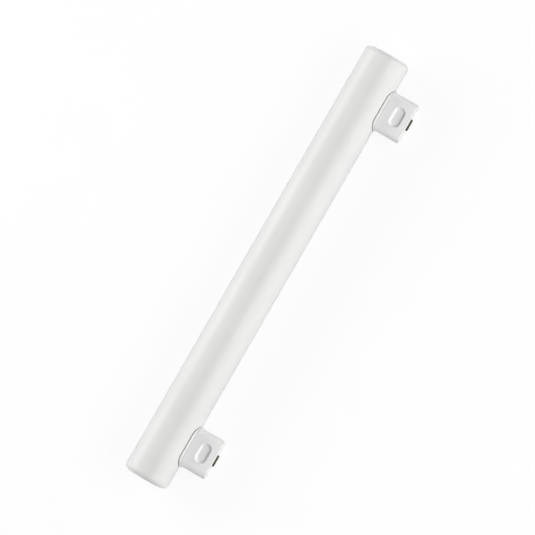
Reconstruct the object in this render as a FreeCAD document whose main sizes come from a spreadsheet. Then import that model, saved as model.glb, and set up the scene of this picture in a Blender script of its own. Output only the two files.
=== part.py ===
import FreeCAD, Part
import math
import os

import Sketcher

# A tubular opal lamp with a flat-sided plug cap near each end.
#
# The lamp lies as it comes to rest. The tube is along X and touches the floor, and both
# caps point towards -Y and dip until the lower edges of their end faces touch it too.
# The origin is on the floor, under the middle of the lamp's box.
#
# Each piece is drawn in a frame of its own, with X along the tube, Y across the cap, and
# Z from the tube's axis out through the contact. For the pieces at an end of the lamp,
# +X is the way to the middle of the tube.

SIZES = {
    # Tube
    "tube_length": 300.0,
    "tube_diameter": 29.5,
    "tube_end_radius": 3.7,
    "tube_wall": 1.2,
    "cap_inset": 31.3,
    # Plug of the cap, and the hollow inside it
    "cap_length": 26.4,
    "cap_width": 14.2,
    "cap_corner_radius": 3.8,
    "cap_reach": 31.7,
    "cap_end_radius": 0.9,
    "cap_side_wall": 2.2,
    "cap_end_wall": 2.4,
    "hollow_corner_radius": 1.8,
    # Saddle flange round the foot of the plug
    "flange_end_lip": 1.0,
    "flange_side_lip": 1.4,
    "flange_corner_radius": 6.8,
    "flange_thickness": 0.6,
    "flange_root_radius": 0.3,
    "flange_rim_radius": 0.2,
    # Seal between the flange and the tube
    "seal_thickness": 0.35,
    "seal_setback": 0.1,
    # Latch recess in each broad side of the plug
    "recess_length": 13.2,
    "recess_width": 7.4,
    "recess_corner_radius": 3.4,
    "recess_depth": 1.5,
    "recess_draft": 42.0,
    "recess_rise": 0.1,
    "recess_offset": 0.4,
    "recess_lip_radius": 0.5,
    "recess_floor_radius": 0.5,
    # Contact plate, and the hollow shank that is headed over inside the cap
    "contact_length": 7.8,
    "contact_width": 4.6,
    "contact_corner_radius": 2.0,
    "contact_proud": 1.15,
    "contact_seat": 0.6,
    "contact_edge_radius": 0.5,
    "contact_clearance": 0.05,
    "shank_diameter": 3.0,
    "shank_tail": 2.6,
    "shank_head_diameter": 4.6,
    "shank_head_thickness": 0.7,
    # Lead from the contact's shank into the tube
    "lead_diameter": 1.3,
    "lead_clearance": 0.05,
    "lead_socket_depth": 2.0,
    "lead_offset": 4.0,
    "lead_straight": 1.2,
}

# Lengths that pieces share, as formulas on the sizes
TUBE_RADIUS = "(sizes.tube_diameter / 2)"
SEAL_RADIUS = f"({TUBE_RADIUS} + sizes.seal_thickness)"
FLANGE_RADIUS = f"({SEAL_RADIUS} + sizes.flange_thickness)"
FLANGE_LENGTH = "(sizes.cap_length + 2 * sizes.flange_end_lip)"
FLANGE_WIDTH = "(sizes.cap_width + 2 * sizes.flange_side_lip)"
HOLLOW_LENGTH = "(sizes.cap_length - 2 * sizes.cap_side_wall)"
HOLLOW_WIDTH = "(sizes.cap_width - 2 * sizes.cap_side_wall)"
HOLLOW_TOP = "(sizes.cap_reach - sizes.cap_end_wall)"
SEAT_FLOOR = "(sizes.cap_reach - sizes.contact_seat)"
RECESS_REACH = f"(({FLANGE_RADIUS} + sizes.cap_reach) / 2 + sizes.recess_rise)"
TAIL_END = f"({HOLLOW_TOP} - sizes.shank_tail)"
LEAD_HOLE_FLOOR = f"({TUBE_RADIUS} - sizes.tube_wall)"
LEAD_BORE = "(sizes.lead_diameter + 2 * sizes.lead_clearance)"
LEAD_BEND_START = f"({TUBE_RADIUS} + sizes.lead_straight)"
LEAD_BEND_END = f"({TAIL_END} - sizes.lead_straight)"
LEAD_TOP = f"({TAIL_END} + sizes.lead_socket_depth)"

# Each end of the lamp: the place of its cap along the tube, and the turn that the pieces it carries get
ENDS = {
    "left": ("sizes.cap_inset - sizes.tube_length / 2", "0deg"),
    "right": ("sizes.tube_length / 2 - sizes.cap_inset", "180deg"),
}

# The numbers that a sketch gives to the ends and centre of an edge, and to its own two axes
START, END, CENTRE = range(1, 4)
X_AXIS, Y_AXIS = range(-1, -3, -1)
ORIGIN = (X_AXIS, START)

NEAR = 1e-4


def make_sheet(doc):
    """Give each driving size a cell of its own, named by its alias."""
    sheet = doc.addObject("Spreadsheet::Sheet", "sizes")
    for row, (alias, size) in enumerate(SIZES.items(), start=1):
        sheet.set(f"A{row}", alias.replace("_", " "))
        sheet.set(f"B{row}", str(size))
        sheet.setAlias(f"B{row}", alias)
    doc.recompute()


def value(item, formula):
    """Work out a formula on the sizes of an object's document as a plain number."""
    return float(item.Document.getObject("sizes").evalExpression(formula))


def origin_feature(body, role):
    """Find one of a body's own origin planes or axes."""
    return next(item for item in body.Origin.OriginFeatures if item.Role == role)


def new_body(doc, name, placement):
    """Start a piece and bind its place in the lamp to a formula."""
    body = doc.addObject("PartDesign::Body", name)
    body.Label = name
    body.setExpression("Placement", placement)
    return body


def new_sketch(body, name, plane="XY_Plane", **offsets):
    """Start a sketch on one of the body's origin planes, shifted by formulas for x, y or z."""
    sketch = body.newObject("Sketcher::SketchObject", f"{body.Name}_{name}")
    sketch.AttachmentSupport = [(origin_feature(body, plane), "")]
    sketch.MapMode = "FlatFace"
    for axis, formula in offsets.items():
        sketch.setExpression(f"AttachmentOffset.Base.{axis}", formula)
    return sketch


def line(sketch, start, end):
    """Draw a straight edge between two points of a sketch, and return its number."""
    return sketch.addGeometry(Part.LineSegment(FreeCAD.Vector(*start), FreeCAD.Vector(*end)), False)


def arc(sketch, centre, radius, first, last):
    """Draw an arc counter-clockwise between two angles in degrees, and return its number."""
    whole = Part.Circle(FreeCAD.Vector(*centre), FreeCAD.Vector(0, 0, 1), radius)
    return sketch.addGeometry(Part.ArcOfCircle(whole, math.radians(first), math.radians(last)), False)


def tie(sketch, kind, *targets):
    """Add a constraint that has no size of its own."""
    return sketch.addConstraint(Sketcher.Constraint(kind, *targets))


def dimension(sketch, name, kind, formula, *targets):
    """Add a named dimension and bind it to a formula on the sizes."""
    index = tie(sketch, kind, *targets, value(sketch, formula))
    sketch.renameConstraint(index, name)
    sketch.setExpression(f"Constraints.{name}", formula)


def rounded_rectangle(sketch, length, width, radius):
    """Draw a rectangle with round corners, centred on the sketch's origin."""
    half_length = value(sketch, length) / 2
    half_width = value(sketch, width) / 2
    corner = value(sketch, radius)
    flat_x = half_length - corner
    flat_y = half_width - corner
    bottom = line(sketch, (-flat_x, -half_width), (flat_x, -half_width))
    right = line(sketch, (half_length, -flat_y), (half_length, flat_y))
    top = line(sketch, (flat_x, half_width), (-flat_x, half_width))
    left = line(sketch, (-half_length, flat_y), (-half_length, -flat_y))
    sides = [bottom, right, top, left]
    centres = [(flat_x, -flat_y), (flat_x, flat_y), (-flat_x, flat_y), (-flat_x, -flat_y)]
    corners = [arc(sketch, centre, corner, 90 * turn - 90, 90 * turn) for turn, centre in enumerate(centres)]
    for side, rounding, next_side in zip(sides, corners, sides[1:] + sides[:1]):
        tie(sketch, "Tangent", side, END, rounding, START)
        tie(sketch, "Tangent", rounding, END, next_side, START)
    for side in (bottom, top):
        tie(sketch, "Horizontal", side)
    for side in (left, right):
        tie(sketch, "Vertical", side)
    for rounding in corners[1:]:
        tie(sketch, "Equal", corners[0], rounding)
    tie(sketch, "Symmetric", bottom, START, top, START, *ORIGIN)
    dimension(sketch, "length", "DistanceX", length, left, START, right, START)
    dimension(sketch, "width", "DistanceY", width, bottom, START, top, START)
    dimension(sketch, "corner", "Radius", radius, corners[0])


def circle(sketch, diameter):
    """Draw a circle about the sketch's origin."""
    whole = Part.Circle(FreeCAD.Vector(), FreeCAD.Vector(0, 0, 1), value(sketch, diameter) / 2)
    edge = sketch.addGeometry(whole, False)
    tie(sketch, "Coincident", edge, CENTRE, *ORIGIN)
    dimension(sketch, "diameter", "Diameter", diameter, edge)


def sleeve_section(sketch, length, inner, outer):
    """Draw the half section of a sleeve about the sketch's horizontal axis."""
    half_length = value(sketch, length) / 2
    low = value(sketch, inner)
    high = value(sketch, outer)
    corners = [(-half_length, low), (half_length, low), (half_length, high), (-half_length, high)]
    bore, right, wall, left = [line(sketch, corners[side], corners[(side + 1) % 4]) for side in range(4)]
    for side, next_side in ((bore, right), (right, wall), (wall, left), (left, bore)):
        tie(sketch, "Coincident", side, END, next_side, START)
    tie(sketch, "Horizontal", bore)
    tie(sketch, "Vertical", right)
    tie(sketch, "Vertical", left)
    tie(sketch, "Symmetric", wall, START, wall, END, Y_AXIS)
    dimension(sketch, "length", "DistanceX", length, bore, START, bore, END)
    dimension(sketch, "inner", "DistanceY", inner, *ORIGIN, bore, START)
    dimension(sketch, "outer", "DistanceY", outer, *ORIGIN, wall, START)


def pad(body, name, sketch, length, downward=False):
    """Raise a sketch into a solid, along Z or against it."""
    feature = body.newObject("PartDesign::Pad", f"{body.Name}_{name}")
    feature.Profile = sketch
    feature.Reversed = downward
    feature.setExpression("Length", length)
    body.Document.recompute()


def check_cut(feature):
    """Make sure that a cut has taken something away from the solid before it."""
    feature.Document.recompute()
    if feature.Shape.Volume > feature.BaseFeature.Shape.Volume - NEAR:
        raise RuntimeError(f"{feature.Name} cuts nothing")


def pocket(body, name, sketch, depth=None, draft="0"):
    """Cut a sketch into the solid, the way its plane's normal points, to a depth or right through."""
    feature = body.newObject("PartDesign::Pocket", f"{body.Name}_{name}")
    feature.Profile = sketch
    feature.Reversed = True
    feature.setExpression("TaperAngle", draft)
    if depth:
        feature.setExpression("Length", depth)
    else:
        feature.Type = "ThroughAll"
    check_cut(feature)
    return feature


def groove(body, name, inner, outer):
    """Turn away everything between two distances from the tube's axis."""
    section = new_sketch(body, f"{name}_section", "XZ_Plane")
    sleeve_section(section, f"2 * {FLANGE_LENGTH}", inner, outer)
    feature = body.newObject("PartDesign::Groove", f"{body.Name}_{name}")
    feature.Profile = section
    feature.ReferenceAxis = (origin_feature(body, "X_Axis"), [""])
    feature.Angle = 360
    check_cut(feature)


def mirror(body, name, feature, plane):
    """Repeat a cut on the far side of one of the body's origin planes."""
    mirrored = body.newObject("PartDesign::Mirrored", f"{body.Name}_{name}")
    mirrored.Originals = [feature]
    mirrored.MirrorPlane = (origin_feature(body, plane), [""])
    body.Tip = mirrored
    check_cut(mirrored)


def fillet(body, name, radius, wanted):
    """Round the edges of the solid so far whose points all pass a test."""
    base = body.Tip
    edges = [
        f"Edge{number}"
        for number, edge in enumerate(base.Shape.Edges, start=1)
        if all(wanted(point) for point in edge.discretize(5))
    ]
    feature = body.newObject("PartDesign::Fillet", f"{body.Name}_{name}")
    feature.Base = (base, edges)
    feature.setExpression("Radius", radius)
    body.Document.recompute()


def lying_pose():
    """Formula for the place of the tube: on the floor, with the caps dipped to touch it.

    The end edge of a cap is an arc about a point that is `run` out from the tube's axis and
    `side` down from the cap's middle. The dip brings that arc to the floor, and the shift
    then centres the lamp between the back of the tube and whatever reaches furthest.
    """
    run = "(sizes.cap_reach - sizes.cap_end_radius)"
    side = "(sizes.cap_width / 2 - sizes.cap_end_radius)"
    drop = f"({TUBE_RADIUS} - sizes.cap_end_radius)"
    dip = f"(asin({drop} / sqrt({run} ^ 2 + {side} ^ 2)) - atan({side} / {run}))"
    cap_reach = f"({run} * cos({dip}) + {side} * sin({dip}) + sizes.cap_end_radius)"
    contact_run = "(sizes.cap_reach + sizes.contact_proud - sizes.contact_edge_radius)"
    contact_side = "(sizes.contact_width / 2 - sizes.contact_edge_radius)"
    contact_reach = f"({contact_run} * cos({dip}) + {contact_side} * sin({dip}) + sizes.contact_edge_radius)"
    shift = f"(max({cap_reach}; {contact_reach}) - {TUBE_RADIUS}) / 2"
    turn = f"rotation(vector(1; 0; 0); 90deg + {dip})"
    return f"placement(vector(0; {shift}; {TUBE_RADIUS}); {turn})"


def cap_pose(side):
    """Formula for the place of the cap at one end: both caps are put on the same way round."""
    return f"opal_tube.Placement * placement(vector({ENDS[side][0]}; 0; 0); rotation(vector(0; 0; 1); 0deg))"


def end_pose(side):
    """Formula for the place of the pieces that the cap at one end carries."""
    along, turn = ENDS[side]
    return f"opal_tube.Placement * placement(vector({along}; 0; 0); rotation(vector(0; 0; 1); {turn}))"


def draw_tube_section(sketch):
    """Draw the half section of the tube: its axis, two flat end faces, their round edges and the wall."""
    half_length = value(sketch, "sizes.tube_length") / 2
    radius = value(sketch, TUBE_RADIUS)
    rounding = value(sketch, "sizes.tube_end_radius")
    flat_x = half_length - rounding
    flat_y = radius - rounding
    axis = line(sketch, (-half_length, 0), (half_length, 0))
    right_face = line(sketch, (half_length, 0), (half_length, flat_y))
    right_edge = arc(sketch, (flat_x, flat_y), rounding, 0, 90)
    wall = line(sketch, (flat_x, radius), (-flat_x, radius))
    left_edge = arc(sketch, (-flat_x, flat_y), rounding, 90, 180)
    left_face = line(sketch, (-half_length, flat_y), (-half_length, 0))
    tie(sketch, "Coincident", axis, END, right_face, START)
    tie(sketch, "Tangent", right_face, END, right_edge, START)
    tie(sketch, "Tangent", right_edge, END, wall, START)
    tie(sketch, "Tangent", wall, END, left_edge, START)
    tie(sketch, "Tangent", left_edge, END, left_face, START)
    tie(sketch, "Coincident", left_face, END, axis, START)
    tie(sketch, "Vertical", right_face)
    tie(sketch, "Vertical", left_face)
    tie(sketch, "Horizontal", wall)
    tie(sketch, "Equal", right_edge, left_edge)
    tie(sketch, "PointOnObject", axis, START, X_AXIS)
    tie(sketch, "Symmetric", axis, START, axis, END, *ORIGIN)
    dimension(sketch, "length", "DistanceX", "sizes.tube_length", axis, START, axis, END)
    dimension(sketch, "radius", "DistanceY", TUBE_RADIUS, axis, START, wall, START)
    dimension(sketch, "rounding", "Radius", "sizes.tube_end_radius", right_edge)


def make_tube(doc):
    """The sealed opal tube, turned about its axis, with a hole for the lead under each cap."""
    body = new_body(doc, "opal_tube", lying_pose())
    section = new_sketch(body, "section", "XZ_Plane")
    draw_tube_section(section)
    turned = body.newObject("PartDesign::Revolution", "opal_tube_wall")
    turned.Profile = section
    turned.ReferenceAxis = (origin_feature(body, "X_Axis"), [""])
    turned.Angle = 360
    left_end = ENDS["left"][0]
    hole = new_sketch(body, "lead_hole_outline", x=f"{left_end} + sizes.lead_offset", z=LEAD_HOLE_FLOOR)
    circle(hole, LEAD_BORE)
    left_hole = pocket(body, "left_lead_hole", hole)
    mirror(body, "right_lead_hole", left_hole, "YZ_Plane")
    return body


def add_flange(body):
    """Raise the cap's flange, and round its top to the tube."""
    outline = new_sketch(body, "flange_outline")
    rounded_rectangle(outline, FLANGE_LENGTH, FLANGE_WIDTH, "sizes.flange_corner_radius")
    pad(body, "flange", outline, FLANGE_RADIUS)
    groove(body, "flange_crown", FLANGE_RADIUS, f"{FLANGE_RADIUS} + {FLANGE_WIDTH}")
    crown = value(body, FLANGE_RADIUS)
    fillet(
        body, "flange_rim", "sizes.flange_rim_radius",
        lambda point: abs(math.hypot(point.y, point.z) - crown) < NEAR and point.z > 0,
    )


def add_plug(body):
    """Raise the cap's plug out of the flange, with a round end edge and a fillet at its root."""
    outline = new_sketch(body, "plug_outline")
    rounded_rectangle(outline, "sizes.cap_length", "sizes.cap_width", "sizes.cap_corner_radius")
    pad(body, "plug", outline, "sizes.cap_reach")
    end_face = value(body, "sizes.cap_reach")
    fillet(body, "end_edge", "sizes.cap_end_radius", lambda point: abs(point.z - end_face) < NEAR)
    crown = value(body, FLANGE_RADIUS)
    half_length = value(body, "sizes.cap_length") / 2 + NEAR
    half_width = value(body, "sizes.cap_width") / 2 + NEAR
    fillet(
        body, "flange_root", "sizes.flange_root_radius",
        lambda point: abs(math.hypot(point.y, point.z) - crown) < NEAR
        and abs(point.x) < half_length and abs(point.y) < half_width,
    )


def hollow_out(body):
    """Core the cap from below, and cut the saddle that sits on the seal."""
    outline = new_sketch(body, "hollow_outline")
    rounded_rectangle(outline, HOLLOW_LENGTH, HOLLOW_WIDTH, "sizes.hollow_corner_radius")
    pocket(body, "hollow", outline, HOLLOW_TOP)
    groove(body, "saddle", "0", SEAL_RADIUS)


def cut_recesses(body):
    """Sink a latch recess with sloping walls into both broad sides of the plug."""
    outline = new_sketch(
        body, "recess_outline", "XZ_Plane",
        x="sizes.recess_offset", y=RECESS_REACH, z="-sizes.cap_width / 2",
    )
    rounded_rectangle(outline, "sizes.recess_length", "sizes.recess_width", "sizes.recess_corner_radius")
    near_side = pocket(body, "near_recess", outline, "sizes.recess_depth", "-sizes.recess_draft")
    mirror(body, "far_recess", near_side, "XZ_Plane")
    half_length = value(body, "sizes.recess_length") / 2 + NEAR
    half_width = value(body, "sizes.recess_width") / 2 + NEAR
    offset = value(body, "sizes.recess_offset")
    reach = value(body, RECESS_REACH)
    levels = {
        "lip": value(body, "sizes.cap_width") / 2,
        "floor": value(body, "sizes.cap_width / 2 - sizes.recess_depth"),
    }
    for name, level in levels.items():
        fillet(
            body, f"recess_{name}s", f"sizes.recess_{name}_radius",
            lambda point: abs(abs(point.y) - level) < NEAR
            and abs(point.x - offset) < half_length and abs(point.z - reach) < half_width,
        )


def cut_contact_seat(body):
    """Sink the contact plate's seat into the end face, and drill the hole for its shank."""
    seat = new_sketch(body, "seat_outline", z=SEAT_FLOOR)
    rounded_rectangle(
        seat,
        "sizes.contact_length + 2 * sizes.contact_clearance",
        "sizes.contact_width + 2 * sizes.contact_clearance",
        "sizes.contact_corner_radius + sizes.contact_clearance",
    )
    pocket(body, "contact_seat", seat)
    hole = new_sketch(body, "shank_hole_outline", z=HOLLOW_TOP)
    circle(hole, "sizes.shank_diameter + 2 * sizes.contact_clearance")
    pocket(body, "shank_hole", hole)


def make_cap(doc, side):
    """The moulded cap: a hollow plug on a saddle flange, with a latch recess in each broad side."""
    body = new_body(doc, f"cap_{side}", cap_pose(side))
    add_flange(body)
    add_plug(body)
    hollow_out(body)
    cut_recesses(body)
    cut_contact_seat(body)
    return body


def make_seal(doc, side):
    """The thin seal that beds the cap's flange on the tube."""
    body = new_body(doc, f"cap_seal_{side}", end_pose(side))
    outline = new_sketch(body, "outline")
    rounded_rectangle(
        outline,
        f"{FLANGE_LENGTH} - 2 * sizes.seal_setback",
        f"{FLANGE_WIDTH} - 2 * sizes.seal_setback",
        "sizes.flange_corner_radius - sizes.seal_setback",
    )
    pad(body, "band", outline, SEAL_RADIUS)
    groove(body, "crown", SEAL_RADIUS, f"{SEAL_RADIUS} + {FLANGE_WIDTH}")
    window = new_sketch(body, "window_outline")
    rounded_rectangle(window, HOLLOW_LENGTH, HOLLOW_WIDTH, "sizes.hollow_corner_radius")
    pocket(body, "window", window)
    groove(body, "saddle", "0", TUBE_RADIUS)
    return body


def make_contact(doc, side):
    """The contact: a plate let into the cap's end face, on a hollow shank headed over inside."""
    body = new_body(doc, f"contact_{side}", end_pose(side))
    plate = new_sketch(body, "plate_outline", z=SEAT_FLOOR)
    rounded_rectangle(plate, "sizes.contact_length", "sizes.contact_width", "sizes.contact_corner_radius")
    pad(body, "plate", plate, "sizes.contact_seat + sizes.contact_proud")
    top = value(body, "sizes.cap_reach + sizes.contact_proud")
    fillet(body, "plate_edge", "sizes.contact_edge_radius", lambda point: abs(point.z - top) < NEAR)
    shank = new_sketch(body, "shank_outline", z=SEAT_FLOOR)
    circle(shank, "sizes.shank_diameter")
    pad(body, "shank", shank, f"{SEAT_FLOOR} - {TAIL_END}", downward=True)
    head = new_sketch(body, "head_outline", z=HOLLOW_TOP)
    circle(head, "sizes.shank_head_diameter")
    pad(body, "head", head, "sizes.shank_head_thickness", downward=True)
    socket = new_sketch(body, "socket_outline", z=TAIL_END)
    circle(socket, LEAD_BORE)
    pocket(body, "lead_socket", socket, "sizes.lead_socket_depth")
    return body


def draw_lead_route(sketch):
    """Draw the middle line of the lead: a double bend between two straight ends."""
    offset = value(sketch, "sizes.lead_offset")
    foot = value(sketch, LEAD_HOLE_FLOOR)
    bend_start = value(sketch, LEAD_BEND_START)
    bend_end = value(sketch, LEAD_BEND_END)
    top = value(sketch, LEAD_TOP)
    rise = bend_end - bend_start
    radius = (rise ** 2 + offset ** 2) / (4 * offset)
    turn = 2 * math.degrees(math.atan2(offset, rise))
    lower_run = line(sketch, (offset, foot), (offset, bend_start))
    lower_bend = arc(sketch, (offset - radius, bend_start), radius, 0, turn)
    upper_bend = arc(sketch, (radius, bend_end), radius, 180, 180 + turn)
    upper_run = line(sketch, (0, bend_end), (0, top))
    tie(sketch, "Tangent", lower_run, END, lower_bend, START)
    tie(sketch, "Tangent", lower_bend, END, upper_bend, END)
    tie(sketch, "Tangent", upper_bend, START, upper_run, START)
    tie(sketch, "Vertical", lower_run)
    tie(sketch, "Vertical", upper_run)
    tie(sketch, "Equal", lower_bend, upper_bend)
    tie(sketch, "PointOnObject", upper_run, END, Y_AXIS)
    dimension(sketch, "offset", "DistanceX", "sizes.lead_offset", *ORIGIN, lower_run, START)
    dimension(sketch, "foot", "DistanceY", LEAD_HOLE_FLOOR, *ORIGIN, lower_run, START)
    dimension(sketch, "bend_start", "DistanceY", LEAD_BEND_START, *ORIGIN, lower_run, END)
    dimension(sketch, "bend_end", "DistanceY", LEAD_BEND_END, *ORIGIN, upper_run, START)
    dimension(sketch, "top", "DistanceY", LEAD_TOP, *ORIGIN, upper_run, END)


def make_lead(doc, side):
    """The lead: up out of the tube, over in an easy double bend, and into the contact's shank."""
    body = new_body(doc, f"lead_{side}", end_pose(side))
    route = new_sketch(body, "route", "XZ_Plane")
    draw_lead_route(route)
    section = new_sketch(body, "section", x="sizes.lead_offset", z=LEAD_HOLE_FLOOR)
    circle(section, "sizes.lead_diameter")
    wire = body.newObject("PartDesign::AdditivePipe", f"{body.Name}_wire")
    wire.Profile = section
    wire.Spine = (route, [])
    doc.recompute()
    return body


def check_document(doc, pieces):
    """Stop if any object failed, or if a piece isn't one sound solid."""
    for item in doc.Objects:
        if "Invalid" in item.State or "Error" in item.State:
            raise RuntimeError(f"{item.Name} failed")
    for piece in pieces:
        if piece.Shape.isNull() or not piece.Shape.isValid() or len(piece.Shape.Solids) != 1:
            raise RuntimeError(f"{piece.Label} isn't one sound solid")


def main():
    """Build the lamp and write each piece to its own file."""
    doc = FreeCAD.newDocument("tubular_lamp")
    make_sheet(doc)
    pieces = [make_tube(doc)]
    for side in ENDS:
        for make in (make_cap, make_seal, make_contact, make_lead):
            pieces.append(make(doc, side))
    doc.recompute()
    check_document(doc, pieces)
    os.makedirs("parts", exist_ok=True)
    for piece in pieces:
        piece.Shape.exportStep(f"parts/{piece.Label}.step")
        print(f"{piece.Label}: {piece.Shape.Volume:.1f} cubic mm")


main()
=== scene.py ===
import logging
import math
from dataclasses import dataclass
from enum import Enum
from typing import Union

import bpy
from mathutils import Matrix, Vector

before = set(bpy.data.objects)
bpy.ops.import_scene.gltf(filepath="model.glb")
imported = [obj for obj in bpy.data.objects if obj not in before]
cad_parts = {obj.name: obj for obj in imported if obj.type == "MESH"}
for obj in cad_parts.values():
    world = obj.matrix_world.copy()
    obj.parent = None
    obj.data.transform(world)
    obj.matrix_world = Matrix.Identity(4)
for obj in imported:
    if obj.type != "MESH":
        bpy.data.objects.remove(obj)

# Looks of a tubular opal lamp with a flat-sided plug cap near each end. The lamp lies on the
# floor, with its tube along X and both caps out towards -Y, dipped until they touch the floor.
# Every length is in metres, in the frame of the solids.

log = logging.getLogger("tubular_lamp")

MM = 0.001
DIP = math.radians(14.7755)
TUBE_RADIUS = 14.75 * MM
TUBE_CENTRE = Vector((0.0, 8.756 * MM, TUBE_RADIUS))
ALONG = Vector((1.0, 0.0, 0.0))
OUTWARD = Vector((0.0, -math.cos(DIP), -math.sin(DIP)))
BROAD = Vector((0.0, -math.sin(DIP), math.cos(DIP)))

Colour = tuple[float, float, float]
Band = tuple[float, float]
Amount = Union["Socket", float]
Settings = dict[str, object]
Values = dict[str | int, object]

WHITE: Colour = (1.0, 1.0, 1.0)


class Side(Enum):
    """The two ends of the lamp, with the way each one lies along X."""

    LEFT = -1
    RIGHT = 1

    @property
    def label(self) -> str:
        """The end's name in the names of its solids."""
        return self.name.lower()


class Ray(Enum):
    """The rays that see the studio's background as plain white."""

    CAMERA = "Is Camera Ray"
    GLOSSY = "Is Glossy Ray"
    TRANSMISSION = "Is Transmission Ray"


class MixSlot(Enum):
    """The sockets that a Mix node uses for colours, by their number."""

    UNDER = 6
    OVER = 7
    RESULT = 2


class Socket:
    """An output of a node, with Python's operators on numbers and a few functions on points."""

    def __init__(self, bench: "Bench", output: bpy.types.NodeSocket) -> None:
        """Wrap one output.

        Args:
            bench: The bench of the material that the output is in.
            output: The output itself.
        """
        self.bench = bench
        self.output = output

    def _number(self, operation: str, *values: Amount) -> "Socket":
        """Put numbers through a Math node.

        Args:
            operation: The node's operation.
            values: Numbers or sockets, in the order of the node's inputs.

        Returns:
            The node's result.
        """
        return self.bench.node("ShaderNodeMath", {"operation": operation}, dict(enumerate(values)))

    def _vector(self, operation: str, other: Vector, output: str) -> "Socket":
        """Put this point and a vector through a Vector Math node.

        Args:
            operation: The node's operation.
            other: The vector.
            output: The name of the output that holds the result.

        Returns:
            The node's result.
        """
        settings = {"operation": operation}
        return self.bench.node("ShaderNodeVectorMath", settings, {0: self, 1: other}, output)

    def __add__(self, other: Amount) -> "Socket":
        """Sum."""
        return self._number("ADD", self, other)

    def __radd__(self, other: Amount) -> "Socket":
        """Sum, with a plain number first."""
        return self._number("ADD", other, self)

    def __sub__(self, other: Amount) -> "Socket":
        """Difference."""
        return self._number("SUBTRACT", self, other)

    def __rsub__(self, other: Amount) -> "Socket":
        """Difference, with a plain number first."""
        return self._number("SUBTRACT", other, self)

    def __mul__(self, other: Amount) -> "Socket":
        """Product."""
        return self._number("MULTIPLY", self, other)

    def __rmul__(self, other: Amount) -> "Socket":
        """Product, with a plain number first."""
        return self._number("MULTIPLY", other, self)

    def __abs__(self) -> "Socket":
        """The size of a number, without its sign."""
        return self._number("ABSOLUTE", self)

    def either(self, other: Amount) -> "Socket":
        """The larger of two numbers."""
        return self._number("MAXIMUM", self, other)

    def hypot(self, other: "Socket") -> "Socket":
        """The straight distance that two lengths at right angles make."""
        return self._number("SQRT", self * self + other * other)

    def mixed(self, other: "Socket", share: float) -> "Socket":
        """This number with a share of another one in its place."""
        return self * (1.0 - share) + other * share

    def about_one(self, swing: float) -> "Socket":
        """A number of about 0.5 turned into one of about 1, with that much of its swing."""
        return (1.0 - swing / 2) + swing * self

    def step(self, start: float, end: float) -> "Socket":
        """Rise smoothly from 0 to 1 while the number goes from start to end.

        Args:
            start: Where the rise starts.
            end: Where it ends. It may be below start, and then the number falls on its way there.

        Returns:
            The smooth step.
        """
        if start > end:
            return 1.0 - self.step(end, start)
        values = {"Value": self, "From Min": start, "From Max": end, "To Min": 0.0, "To Max": 1.0}
        return self.bench.node("ShaderNodeMapRange", {"interpolation_type": "SMOOTHSTEP"}, values)

    def dot(self, direction: Vector) -> "Socket":
        """How far a point lies along a direction."""
        return self._vector("DOT_PRODUCT", direction, "Value")

    def shifted(self, origin: Vector) -> "Socket":
        """The point measured from somewhere else."""
        return self._vector("SUBTRACT", origin, "Vector")

    def stretched(self, scale: Vector) -> "Socket":
        """The point with each of its lengths scaled."""
        return self._vector("MULTIPLY", scale, "Vector")


class Bench:
    """The node tree of a material or of the world, and the ways to add nodes to it."""

    def __init__(self, owner: bpy.types.Material | bpy.types.World) -> None:
        """Start with an empty tree.

        Args:
            owner: The material or world that the nodes are for.
        """
        self.owner = owner
        owner.use_nodes = True
        self.tree = owner.node_tree
        self.tree.nodes.clear()

    def place(self, kind: str, settings: Settings, values: Values) -> bpy.types.Node:
        """Add a node: its settings first, then the values or links of its sockets.

        Args:
            kind: The node's type.
            settings: Its properties.
            values: What goes into its sockets, by name or number.

        Returns:
            The new node.
        """
        new = self.tree.nodes.new(kind)
        for name, setting in settings.items():
            setattr(new, name, setting)
        for name, value in values.items():
            socket = new.inputs[name]
            if isinstance(value, Socket):
                self.tree.links.new(value.output, socket)
            elif socket.type == "RGBA":
                socket.default_value = (*value, 1.0)
            else:
                socket.default_value = value
        return new

    def node(self, kind: str, settings: Settings, values: Values, output: str | int = 0) -> Socket:
        """Add a node and give one of its outputs.

        Args:
            kind: The node's type.
            settings: Its properties.
            values: What goes into its sockets, by name or number.
            output: The output that is wanted, by name or number.

        Returns:
            That output.
        """
        return Socket(self, self.place(kind, settings, values).outputs[output])

    def point(self) -> Socket:
        """The place of the point that is shaded, in the frame of the solids."""
        return self.node("ShaderNodeTexCoord", {}, {}, "Object")

    def paint(self, under: Socket | Colour, over: Colour, cover: Socket) -> Socket:
        """Lay a colour over another one.

        Args:
            under: The colour below.
            over: The colour that goes on.
            cover: How much it covers, from 0 to 1.

        Returns:
            The mixed colour.
        """
        values = {"Factor": cover, MixSlot.UNDER.value: under, MixSlot.OVER.value: over}
        return self.node("ShaderNodeMix", {"data_type": "RGBA"}, values, MixSlot.RESULT.value)

    def relief(self, height: Socket, depth: float, finer: Socket | None = None) -> Socket:
        """Turn a height into a surface that isn't flat.

        Args:
            height: The height, from 0 to 1.
            depth: How much a height of 1 is, in metres.
            finer: A finer relief that lies on this one.

        Returns:
            The normal for a shader.
        """
        values = {"Height": height, "Distance": depth, "Strength": 1.0}
        if finer is not None:
            values["Normal"] = finer
        return self.node("ShaderNodeBump", {}, values)

    def background_rays(self) -> Socket:
        """Tell the rays that see the background as plain white: 1 for those and 0 for others."""
        camera, glossy, through = (self.node("ShaderNodeLightPath", {}, {}, ray.value) for ray in Ray)
        return camera.either(glossy).either(through)

    def surface(self, values: Values) -> bpy.types.Material:
        """Finish the material with a Principled shader.

        Args:
            values: What goes into the shader's sockets.

        Returns:
            The finished material.
        """
        shader = self.node("ShaderNodeBsdfPrincipled", {}, values)
        self.place("ShaderNodeOutputMaterial", {}, {"Surface": shader})
        return self.owner


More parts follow.
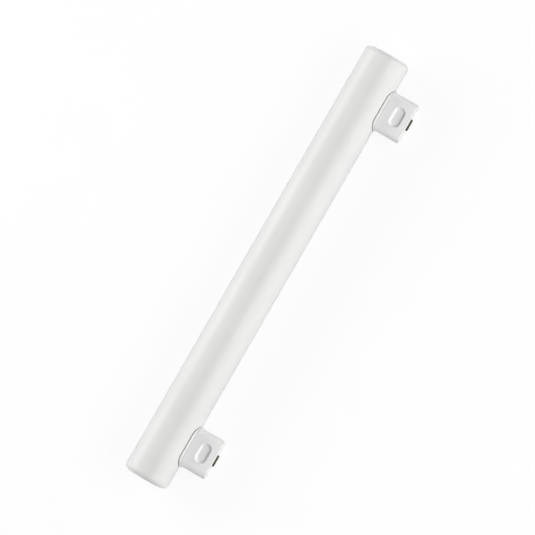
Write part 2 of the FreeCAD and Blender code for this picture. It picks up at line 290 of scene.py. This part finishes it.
@dataclass(frozen=True)
class Pattern:
    """Soft noise of one size, which may be drawn out and have its contrast raised.

    Its patches are size metres wide. Layers and rough say how many finer layers it has and how
    strong those are. A share below 1 in along or out draws it out along the lamp or towards the
    caps. It is a number of about 0.5, mostly between 0.3 and 0.7, unless a band of that range is
    stretched to go from 0 to 1.
    """

    size: float
    layers: float = 2.0
    rough: float = 0.5
    along: float = 1.0
    out: float = 1.0
    band: Band | None = None

    def at(self, where: Socket) -> Socket:
        """Read the pattern.

        Args:
            where: The point that it is read at.

        Returns:
            The pattern's number there.
        """
        if (self.along, self.out) != (1.0, 1.0):
            where = where.stretched(Vector((self.along, self.out, 1.0)))
        values = {"Vector": where, "Scale": 1.0 / self.size, "Detail": self.layers, "Roughness": self.rough}
        noise = where.bench.node("ShaderNodeTexNoise", {}, values)
        return noise if self.band is None else noise.step(*self.band)


@dataclass(frozen=True)
class OpalWall:
    """Satin opal wall of the tube: milky white in soft clouds, with a faint drawing grain.

    A film of fine dust darkens it where it turns away, and that draws its grey outline.
    """

    clear: Colour = (0.750, 0.748, 0.740)
    milky: Colour = (0.731, 0.729, 0.723)
    clouds: Pattern = Pattern(38 * MM)
    cloud_band: Band = (0.36, 0.64)
    grain: Pattern = Pattern(1.3 * MM, along=0.03)
    grain_in_clouds: float = 0.35
    smears: Pattern = Pattern(9 * MM, layers=4.0, rough=0.6, along=0.3, band=(0.42, 0.66))
    grain_in_smears: float = 0.4
    peel: Pattern = Pattern(0.45 * MM)
    grain_in_peel: float = 0.3
    peel_depth: float = 0.0025 * MM
    gloss: float = 0.42
    haze: float = 0.50
    refraction: float = 1.49
    shine: float = 0.25
    dust_film: float = 1.0
    dust_film_haze: float = 0.38

    def build(self) -> bpy.types.Material:
        """Make the material.

        Returns:
            The finished material.
        """
        bench = Bench(bpy.data.materials.new("opal_tube_wall"))
        where = bench.point()
        grain = self.grain.at(where)
        density = self.clouds.at(where).mixed(grain, self.grain_in_clouds).step(*self.cloud_band)
        smear = self.smears.at(where).mixed(grain, self.grain_in_smears)
        peel = self.peel.at(where).mixed(grain, self.grain_in_peel)
        return bench.surface({
            "Base Color": bench.paint(self.clear, self.milky, density),
            "Roughness": self.gloss + (self.haze - self.gloss) * smear,
            "Normal": bench.relief(peel, self.peel_depth),
            "IOR": self.refraction,
            "Specular IOR Level": self.shine,
            "Sheen Weight": self.dust_film,
            "Sheen Roughness": self.dust_film_haze,
        })


class CapPoint:
    """The point that is shaded, as a cap measures it from the tube's axis under its middle."""

    def __init__(self, bench: Bench, foot: Vector) -> None:
        """Measure the point.

        Args:
            bench: The bench of the material.
            foot: The point of the tube's axis under the middle of the cap.
        """
        self.where = bench.point().shifted(foot)
        self.along = self.where.dot(ALONG)
        self.out = self.where.dot(OUTWARD)
        self.across = self.where.dot(BROAD)


@dataclass(frozen=True)
class Plug:
    """The sizes of a cap's plug, flange and latch recess that its finish follows."""

    length: float = 26.4 * MM
    width: float = 14.2 * MM
    corner: float = 3.8 * MM
    reach: float = 31.7 * MM
    flange_radius: float = 15.7 * MM
    recess_middle: float = 23.8 * MM
    recess_offset: float = 0.4 * MM
    recess_length: float = 13.2 * MM
    recess_width: float = 7.4 * MM
    recess_wall: float = 1.35 * MM

    def beside(self, point: CapPoint) -> Socket:
        """Measure how far a point lies outside the plug's walls.

        Args:
            point: The point that is shaded.

        Returns:
            The distance, or 0 within the walls.
        """
        past_end = (abs(point.along) - (self.length / 2 - self.corner)).either(0.0)
        past_side = (abs(point.across) - (self.width / 2 - self.corner)).either(0.0)
        return (past_end.hypot(past_side) - self.corner).either(0.0)

    def above(self, point: CapPoint) -> Socket:
        """How far a point lies above the flange's crown, or 0 within it."""
        return (point.out.hypot(point.across) - self.flange_radius).either(0.0)

    def within_recess(self, point: CapPoint) -> Socket:
        """Measure how far a point lies within the recess's outline.

        Args:
            point: The point that is shaded.

        Returns:
            The distance, or below 0 outside the outline.
        """
        run = (self.recess_length - self.recess_width) / 2
        past_run = (abs(point.along - self.recess_offset) - run).either(0.0)
        return self.recess_width / 2 - past_run.hypot(point.out - self.recess_middle)


@dataclass(frozen=True)
class Gate:
    """The mark that the mould's gate has left on a cap: a round spot with a sunk rim."""

    out: float = 24 * MM
    wall_depth: Band = (1.0 * MM, 0.5 * MM)
    radius: float = 0.75 * MM
    full_radius: float = 0.6 * MM
    rim: float = 0.12 * MM
    tint: Colour = (0.74, 0.742, 0.735)
    spot_cover: float = 0.5
    rim_cover: float = 0.35
    spot_height: float = 0.5
    rim_height: float = -0.8
    spot_gloss: float = 0.08

    def marks(self, point: CapPoint, inboard: Socket, plug: Plug) -> tuple[Socket, Socket]:
        """Draw the mark on the side that faces the middle of the lamp.

        Args:
            point: The point that is shaded.
            inboard: How far it lies towards the middle of the lamp.
            plug: The sizes of the plug.

        Returns:
            The spot and its rim, each from 0 to 1.
        """
        deep, shallow = self.wall_depth
        on_side = inboard.step(plug.length / 2 - deep, plug.length / 2 - shallow)
        away = (point.out - self.out).hypot(point.across)
        spot = away.step(self.radius, self.full_radius)
        rim = abs(away - self.radius).step(self.rim, 0.0)
        return on_side * spot, on_side * rim


@dataclass(frozen=True)
class MouldedCap:
    """Satin moulded white of a cap, in the grain that a spark-eroded mould leaves.

    A parting line runs down the middle of both narrow sides, and the gate has left a small mark
    on the side that faces the middle of the lamp. The flange is painted darker, as painted shade
    where the cap meets the tube. The crease between plug and flange and the recess's sloping walls
    are painted a darker grey, as painted shade. The end face and its edges are painted darker
    too, as painted shade, broken up by the grain.
    """

    face: Colour = (0.88, 0.88, 0.875)
    flowed: Colour = (0.865, 0.865, 0.86)
    flow: Pattern = Pattern(11 * MM, out=0.5, band=(0.38, 0.62))
    grain: Pattern = Pattern(0.16 * MM, layers=1.0, rough=0.4)
    grain_depth: float = 0.006 * MM
    gate: Gate = Gate()
    parting_width: float = 0.07 * MM
    parting_height: float = 0.03 * MM
    parting_start: Band = (3 * MM, 1 * MM)
    # Painted shade on the flange, where the cap meets the tube.
    flange_shade: Colour = (0.77, 0.77, 0.765)
    flange_shade_height: float = 0.25 * MM
    # Painted shade on the end face and its edges.
    end_shade: Colour = (0.77, 0.768, 0.76)
    end_shade_cover: float = 0.8
    end_shade_depth: Band = (1.5 * MM, 0.7 * MM)
    end_shade_swing: float = 1.0
    # Painted shade: a darker grey for the crease between plug and flange and the recess's sloping walls.
    painted_shade: Colour = (0.50, 0.50, 0.49)
    painted_shade_swing: float = 0.5
    crease_shade: float = 0.75
    crease_reach: Band = (0.55 * MM, 0.0825 * MM)
    wall_shade: float = 0.16
    wall_top: Band = (-0.15 * MM, 0.1 * MM)
    wall_foot: float = 0.2 * MM
    gloss: float = 0.36
    grained: float = 0.46
    refraction: float = 1.5
    shine: float = 0.2

    def build(self, side: Side, foot: Vector, plug: Plug) -> bpy.types.Material:
        """Make the material of one cap.

        Args:
            side: The end of the lamp that the cap is at.
            foot: The point of the tube's axis under the middle of the cap.
            plug: The sizes of the cap's plug.

        Returns:
            The finished material.
        """
        bench = Bench(bpy.data.materials.new(f"moulded_cap_{side.label}"))
        point = CapPoint(bench, foot)
        flow = self.flow.at(point.where)
        grain = self.grain.at(point.where)
        spot, rim = self.gate.marks(point, point.along * -side.value, plug)
        marked = self.gate.spot_cover * spot + self.gate.rim_cover * rim
        colour = bench.paint(self.face, self.flowed, flow)
        colour = bench.paint(colour, self.gate.tint, marked)
        # Painted shade: the flange is painted darker where the cap meets the tube.
        colour = bench.paint(colour, self.flange_shade, plug.above(point).step(self.flange_shade_height, 0.0))
        # Painted shade on the end face and its edges, broken up by the grain.
        end_shaded = self._end_shade(point, plug) * grain.about_one(self.end_shade_swing)
        colour = bench.paint(colour, self.end_shade, end_shaded)
        # Painted shade in the crease and on the recess's walls, varied a little by the flow pattern.
        shade_cover = self._shade_in_hollows(point, plug) * flow.about_one(self.painted_shade_swing)
        colour = bench.paint(colour, self.painted_shade, shade_cover)
        height = self._parting(point, plug) + self.gate.rim_height * rim + self.gate.spot_height * spot
        fine = bench.relief(grain, self.grain_depth)
        return bench.surface({
            "Base Color": colour,
            "Roughness": self.gloss + (self.grained - self.gloss) * grain - self.gate.spot_gloss * spot,
            "Normal": bench.relief(height, self.parting_height, fine),
            "IOR": self.refraction,
            "Specular IOR Level": self.shine,
        })

    def _parting(self, point: CapPoint, plug: Plug) -> Socket:
        """Draw the parting line.

        Args:
            point: The point that is shaded.
            plug: The sizes of the plug.

        Returns:
            The line, from 0 to 1.
        """
        inner, outer = self.parting_start
        on_side = abs(point.along).step(plug.length / 2 - inner, plug.length / 2 - outer)
        return abs(point.across).step(self.parting_width, 0.0) * on_side

    def _end_shade(self, point: CapPoint, plug: Plug) -> Socket:
        """Paint shade on the end face and its edges, from 0 to the cover of that painted shade."""
        deep, shallow = self.end_shade_depth
        return self.end_shade_cover * point.out.step(plug.reach - deep, plug.reach - shallow)

    def _shade_in_hollows(self, point: CapPoint, plug: Plug) -> Socket:
        """Paint shade into the crease between plug and flange and onto the recess's sloping walls.

        Args:
            point: The point that is shaded.
            plug: The sizes of the plug.

        Returns:
            How much the painted shade covers, from 0 to 1.
        """
        crease = plug.beside(point).hypot(plug.above(point)).step(*self.crease_reach)
        inward = plug.within_recess(point)
        foot = inward.step(plug.recess_wall + self.wall_foot, plug.recess_wall)
        wall = inward.step(*self.wall_top) * foot
        return (self.crease_shade * crease).either(self.wall_shade * wall)


@dataclass(frozen=True)
class SealBead:
    """Matt grey bead that beds a cap on the tube, a little uneven where it was pressed out.

    Its grey is darkened to near black as painted shade of the gap under the flange.
    """

    shaded_body: Colour = (0.045, 0.045, 0.046)
    skin: Colour = (0.08, 0.08, 0.08)
    skin_band: Band = (0.38, 0.62)
    lumps: Pattern = Pattern(1.1 * MM, layers=3.0, rough=0.55)
    lump_depth: float = 0.03 * MM
    specks: Pattern = Pattern(0.15 * MM, layers=1.0)
    speck_share: float = 0.3
    gloss: float = 0.58
    matt: float = 0.78
    shine: float = 0.1

    def build(self) -> bpy.types.Material:
        """Make the material.

        Returns:
            The finished material.
        """
        bench = Bench(bpy.data.materials.new("seal_bead_and_gap_shade"))
        where = bench.point()
        lump = self.lumps.at(where)
        speck = self.specks.at(where)
        skinned = lump.mixed(speck, self.speck_share).step(*self.skin_band)
        return bench.surface({
            # Near black: the bead's grey darkened as painted shade of the gap under the flange.
            "Base Color": bench.paint(self.shaded_body, self.skin, skinned),
            "Roughness": self.gloss + (self.matt - self.gloss) * speck,
            "Normal": bench.relief(lump, self.lump_depth),
            "Specular IOR Level": self.shine,
        })


@dataclass(frozen=True)
class DarkenedBrass:
    """Contact plate of brass, rubbed brighter where it meets the holder's spring.

    Its dark olive colour is a painted reflection of dark surroundings.
    """

    dark_reflection: Colour = (0.052, 0.052, 0.036)
    olive: Colour = (0.09, 0.087, 0.058)
    patches: Pattern = Pattern(1.4 * MM, layers=4.0, rough=0.6, band=(0.36, 0.66))
    rubbed: Colour = (0.42, 0.36, 0.19)
    rubbed_cover: float = 0.55
    rubbed_depth: Band = (0.35 * MM, 0.05 * MM)
    track_width: Band = (1.0 * MM, 0.2 * MM)
    track_waver: float = 0.5 * MM
    track_length: Band = (3.2 * MM, 1.8 * MM)
    brush: Pattern = Pattern(0.09 * MM, along=0.06)
    brush_depth: float = 0.004 * MM
    brush_band: Band = (0.35, 0.6)
    brush_in_gloss: float = 0.4
    gloss: float = 0.36
    dull: float = 0.62

    def build(self, side: Side, foot: Vector, reach: float) -> bpy.types.Material:
        """Make the material of one contact.

        Args:
            side: The end of the lamp that the contact is at.
            foot: The point of the tube's axis under the middle of the contact.
            reach: How far the contact's face is from the tube's axis.

        Returns:
            The finished material.
        """
        bench = Bench(bpy.data.materials.new(f"darkened_brass_{side.label}"))
        point = CapPoint(bench, foot)
        brush = self.brush.at(point.where)
        deep, shallow = self.rubbed_depth
        face = point.out.step(reach - deep, reach - shallow)
        track = (abs(point.across) - self.track_waver * brush).step(*self.track_width)
        wear = face * track * abs(point.along).step(*self.track_length) * brush.step(*self.brush_band)
        # Near-black brass in patches: a painted reflection of dark surroundings.
        colour = bench.paint(self.dark_reflection, self.olive, self.patches.at(point.where))
        return bench.surface({
            "Base Color": bench.paint(colour, self.rubbed, self.rubbed_cover * wear),
            "Metallic": 1.0,
            "Roughness": self.dull - (self.dull - self.gloss) * wear.mixed(brush, self.brush_in_gloss),
            "Normal": bench.relief(brush, self.brush_depth),
        })


@dataclass(frozen=True)
class LeadSleeve:
    """Off-white sleeve of a lead, smooth with faint chalky patches."""

    smooth: Colour = (0.78, 0.775, 0.75)
    chalky: Colour = (0.70, 0.695, 0.67)
    chalk: Pattern = Pattern(1.5 * MM, layers=3.0, rough=0.6)
    chalk_band: Band = (0.4, 0.65)
    chalk_depth: float = 0.01 * MM
    gloss: float = 0.42
    matt: float = 0.62

    def build(self) -> bpy.types.Material:
        """Make the material.

        Returns:
            The finished material.
        """
        bench = Bench(bpy.data.materials.new("lead_sleeve"))
        chalk = self.chalk.at(bench.point())
        return bench.surface({
            "Base Color": bench.paint(self.smooth, self.chalky, chalk.step(*self.chalk_band)),
            "Roughness": self.gloss + (self.matt - self.gloss) * chalk,
            "Normal": bench.relief(chalk, self.chalk_depth),
        })


@dataclass(frozen=True)
class PaleGround:
    """Matt white of the studio's floor, lifted to plain white where it is looked at."""

    coat: Colour = (0.62, 0.62, 0.62)
    shade: Colour = (0.59, 0.59, 0.59)
    mottle: Pattern = Pattern(60 * MM, layers=3.0, band=(0.35, 0.65))
    lift: float = 0.85
    glow: float = 1.06

    def build(self) -> bpy.types.Material:
        """Make the material: a matt coat for the light, and mostly a plain white glow for the eye.

        Returns:
            The finished material.
        """
        bench = Bench(bpy.data.materials.new("pale_ground"))
        colour = bench.paint(self.coat, self.shade, self.mottle.at(bench.point()))
        coat = bench.node("ShaderNodeBsdfDiffuse", {}, {"Color": colour})
        white = bench.node("ShaderNodeEmission", {}, {"Color": WHITE, "Strength": self.glow})
        lifted = bench.background_rays() * self.lift
        seen = bench.node("ShaderNodeMixShader", {}, {0: lifted, 1: coat, 2: white})
        bench.place("ShaderNodeOutputMaterial", {}, {"Surface": seen})
        return bench.owner


def dress(finishes: dict[str, bpy.types.Material]) -> dict[str, bpy.types.Material]:
    """Put finishes on solids in place of their plain ones.

    Args:
        finishes: The finish of each solid, by the solid's name.

    Returns:
        The same finishes.
    """
    for node, material in finishes.items():
        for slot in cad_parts[node].material_slots:
            slot.material = material
    return finishes


@dataclass(frozen=True)
class Tube:
    """The sealed opal tube."""

    wall: OpalWall = OpalWall()

    def build(self) -> dict[str, bpy.types.Material]:
        """Dress the tube and return its finish, by the solid's name."""
        return dress({"opal_tube": self.wall.build()})


@dataclass(frozen=True)
class EndCap:
    """One cap with its seal, contact and lead."""

    side: Side
    tube_length: float = 300 * MM
    inset: float = 31.3 * MM
    plug: Plug = Plug()
    contact_proud: float = 1.15 * MM
    plastic: MouldedCap = MouldedCap()
    bead: SealBead = SealBead()
    metal: DarkenedBrass = DarkenedBrass()
    sleeve: LeadSleeve = LeadSleeve()

    @property
    def foot(self) -> Vector:
        """The point of the tube's axis under the middle of the cap."""
        return TUBE_CENTRE + ALONG * (self.side.value * (self.tube_length / 2 - self.inset))

    def build(self) -> dict[str, bpy.types.Material]:
        """Dress the cap and what it carries.

        Returns:
            The finish of each solid, by the solid's name.
        """
        end = self.side.label
        contact_reach = self.plug.reach + self.contact_proud
        return dress({
            f"cap_{end}": self.plastic.build(self.side, self.foot, self.plug),
            f"cap_seal_{end}": self.bead.build(),
            f"contact_{end}": self.metal.build(self.side, self.foot, contact_reach),
            f"lead_{end}": self.sleeve.build(),
        })


@dataclass(frozen=True)
class View:
    """The direction that the picture is taken from, and its axes among the solids."""

    tilt: float = 4.0
    lean: float = 29.965

    @property
    def back(self) -> Vector:
        """Towards the camera: along the caps' broad normal, tilted a little to their end faces."""
        turn = math.radians(self.tilt)
        return BROAD * math.cos(turn) + OUTWARD * math.sin(turn)

    @property
    def outward(self) -> Vector:
        """The way the caps point, in the picture's plane."""
        turn = math.radians(self.tilt)
        return OUTWARD * math.cos(turn) - BROAD * math.sin(turn)

    @property
    def right(self) -> Vector:
        """To the right in the picture."""
        turn = math.radians(self.lean)
        return ALONG * math.sin(turn) + self.outward * math.cos(turn)

    @property
    def up(self) -> Vector:
        """Upwards in the picture."""
        turn = math.radians(self.lean)
        return ALONG * math.cos(turn) - self.outward * math.sin(turn)

    def toward(self, bearing: float, off_axis: float) -> Vector:
        """A direction from the object, as it is seen in the picture.

        Args:
            bearing: The angle in the picture, from the way the caps point round to +X, in degrees.
            off_axis: The angle from the way to the camera, in degrees.

        Returns:
            The direction, of length 1.
        """
        turn = math.radians(bearing)
        off = math.radians(off_axis)
        across = self.outward * math.cos(turn) + ALONG * math.sin(turn)
        return self.back * math.cos(off) + across * math.sin(off)


def link(name: str, data: bpy.types.ID) -> bpy.types.Object:
    """Put a new object in the scene.

    Args:
        name: The object's name.
        data: The mesh, lamp or camera that it shows.

    Returns:
        The new object.
    """
    new = bpy.data.objects.new(name, data)
    bpy.context.scene.collection.objects.link(new)
    return new


@dataclass(frozen=True)
class Softbox:
    """A soft lamp that faces the middle of the object, with its long side along X where it can."""

    name: str
    bearing: float
    off_axis: float
    width: float
    height: float
    power: float
    distance: float = 1.4

    def build(self, view: View, middle: Vector) -> None:
        """Hang the lamp.

        Args:
            view: The direction that the picture is taken from.
            middle: The point that the lamp faces.
        """
        away = view.toward(self.bearing, self.off_axis)
        across = (ALONG - away * ALONG.dot(away)).normalized()
        data = bpy.data.lights.new(self.name, "AREA")
        data.shape = "RECTANGLE"
        data.size = self.width
        data.size_y = self.height
        data.energy = self.power
        turned = Matrix((across, away.cross(across), away)).transposed().to_4x4()
        lamp = link(self.name, data)
        lamp.matrix_world = Matrix.Translation(middle + away * self.distance) @ turned


@dataclass(frozen=True)
class Studio:
    """The floor, the lamps, the world and the camera."""

    floor_size: float = 6.0
    sky: float = 0.05
    ground: PaleGround = PaleGround()
    view: View = View()
    lens: float = 400.0
    sensor: float = 36.0
    near: float = 0.05
    far: float = 50.0
    view_distance: float = 3.645
    aim_right: float = 0.32 * MM
    aim_up: float = -0.29 * MM
    lamps: tuple[Softbox, ...] = (
        Softbox("back_box", bearing=180.0, off_axis=83.0, width=1.1, height=0.6, power=22.4),
        Softbox("front_box", bearing=0.0, off_axis=33.0, width=1.0, height=0.6, power=9.5),
        Softbox("low_box", bearing=0.0, off_axis=64.0, width=1.0, height=0.6, power=5.7),
        Softbox("near_key", bearing=35.0, off_axis=40.0, width=1.2, height=0.8, power=15.5, distance=2.6),
        Softbox("right_key", bearing=56.0, off_axis=66.0, width=0.9, height=0.6, power=8.0, distance=2.2),
        Softbox("left_fill", bearing=-90.0, off_axis=82.0, width=0.8, height=0.5, power=5.4, distance=1.8),
    )

    def build(self) -> None:
        """Set up the studio round the object."""
        self._lay_floor()
        self._light_world()
        for lamp in self.lamps:
            lamp.build(self.view, TUBE_CENTRE)
        self._set_camera()

    def _lay_floor(self) -> None:
        """Lay the floor that the lamp lies on."""
        half = self.floor_size / 2
        mesh = bpy.data.meshes.new("floor")
        corners = [(-half, -half, 0.0), (half, -half, 0.0), (half, half, 0.0), (-half, half, 0.0)]
        mesh.from_pydata(corners, [], [(0, 1, 2, 3)])
        mesh.materials.append(self.ground.build())
        floor = link("floor", mesh)

    def _light_world(self) -> None:
        """Fill the room with even light, and let it look white where it is seen."""
        world = bpy.data.worlds.new("room")
        bench = Bench(world)
        light = bench.node("ShaderNodeBackground", {}, {"Color": WHITE, "Strength": self.sky})
        white = bench.node("ShaderNodeBackground", {}, {"Color": WHITE, "Strength": 1.0})
        seen = bench.node("ShaderNodeMixShader", {}, {0: bench.background_rays(), 1: light, 2: white})
        bench.place("ShaderNodeOutputWorld", {}, {"Surface": seen})
        bpy.context.scene.world = world

    def _set_camera(self) -> None:
        """Look down on the broad sides of the caps, with the lamp leaning as it does in the picture."""
        view = self.view
        data = bpy.data.cameras.new("camera")
        data.lens = self.lens
        data.sensor_width = self.sensor
        data.clip_start = self.near
        data.clip_end = self.far
        aim = TUBE_CENTRE + view.right * self.aim_right + view.up * self.aim_up
        turned = Matrix((view.right, view.up, view.back)).transposed().to_4x4()
        camera = link("camera", data)
        camera.matrix_world = Matrix.Translation(aim + view.back * self.view_distance) @ turned
        bpy.context.scene.camera = camera


def main() -> None:
    """Dress the tube and both end caps, report each piece, and set up the studio."""
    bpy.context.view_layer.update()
    bpy.context.scene.view_settings.view_transform = "Standard"
    for assembly in (Tube(), EndCap(Side.LEFT), EndCap(Side.RIGHT)):
        for node, material in assembly.build().items():
            log.info("%s: %s", node, material.name)
    studio = Studio()
    studio.build()
    log.info("studio: floor, camera, %s", ", ".join(lamp.name for lamp in studio.lamps))


if __name__ == "__main__":
    logging.basicConfig(level=logging.INFO, format="%(message)s")
    main()
